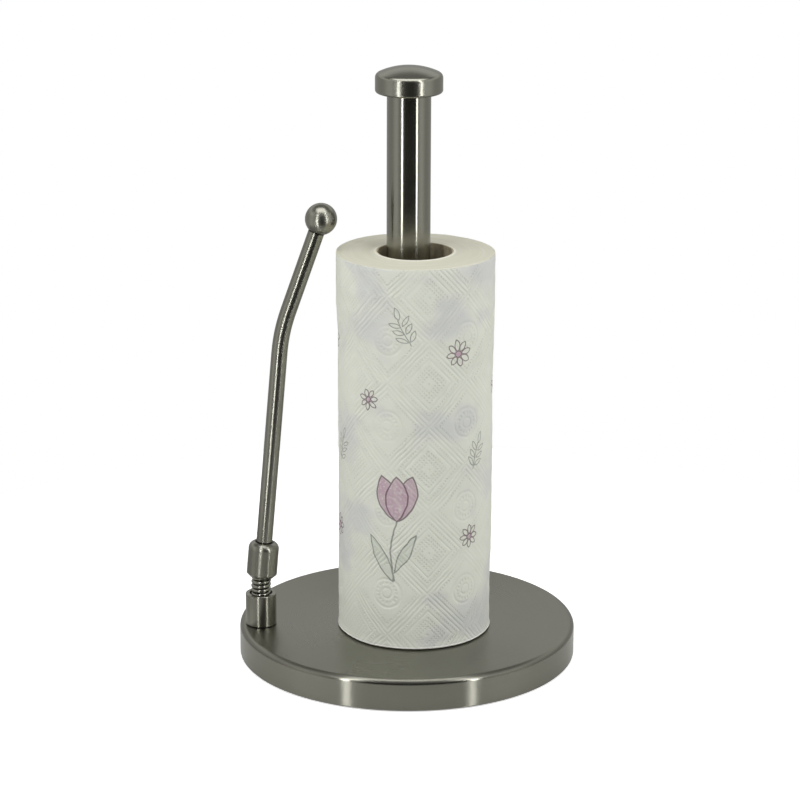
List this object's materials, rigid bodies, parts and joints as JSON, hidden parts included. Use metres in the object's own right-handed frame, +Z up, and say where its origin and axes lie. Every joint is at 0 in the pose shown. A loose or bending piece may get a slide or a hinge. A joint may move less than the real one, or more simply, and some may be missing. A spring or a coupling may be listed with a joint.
{
  "type": "paper towel holder",
  "caption": "Countertop paper towel holder with a weighted round base, an upright domed-cap post, a sprung bent tension arm with a ball end, and a paper roll.",
  "frame": {"origin": "on the table under the middle of the round base, on the post's axis", "axes": "+Z up along the post; the tension arm stands on the -X side, and -Y faces the user"},
  "size_m": [0.2, 0.2, 0.3548],
  "materials": {
    "brushed_steel": "satin",
    "spring_steel": "satin",
    "zinc_steel": "satin",
    "ballast_iron": "matte",
    "black_plastic": "matte",
    "foot_rubber": "matte",
    "core_board": "matte",
    "tissue_paper": "matte"
  },
  "bodies": {
    "base": {"base_cover": "brushed_steel", "base_ballast": "ballast_iron", "base_underplate": "black_plastic", "underplate_screws": "zinc_steel", "foot_ring": "foot_rubber", "post_tube": "brushed_steel", "post_foot_plug": "zinc_steel", "post_bolt": "zinc_steel", "post_washer": "zinc_steel", "post_top_plug": "zinc_steel", "cap_stud": "zinc_steel", "post_cap": "brushed_steel", "arm_socket": "brushed_steel", "arm_bolt": "zinc_steel", "arm_washer": "zinc_steel", "spring_peg_lower": "zinc_steel"},
    "spring": {"arm_spring": "spring_steel"},
    "arm": {"spring_peg_upper": "zinc_steel", "arm_ferrule": "brushed_steel", "arm_rod": "brushed_steel", "arm_ball": "brushed_steel"},
    "roll": {"roll_core": "core_board", "paper_roll": "tissue_paper"}
  },
  "joints": [
    {"name": "arm_sway", "type": "hinge", "parent": "base", "child": "spring", "pos_m": [-0.0875, 0, 0.0444], "axis": [1, 0, 0], "range_deg": [-15, 15], "stiffness_Nm_per_rad": 1.6, "deforming": ["arm_spring"]},
    {"name": "arm_swing", "type": "hinge", "parent": "spring", "child": "arm", "pos_m": [-0.0875, 0, 0.0444], "axis": [0, -1, 0], "range_deg": [-2, 25], "stiffness_Nm_per_rad": 1.6, "springref_deg": 0.97, "deforming": ["arm_spring"]},
    {"name": "roll_turn", "type": "hinge", "parent": "base", "child": "roll", "pos_m": [0.0029, -0.0076, 0.02], "axis": [0, 0, 1], "continuous": true}
  ]
}
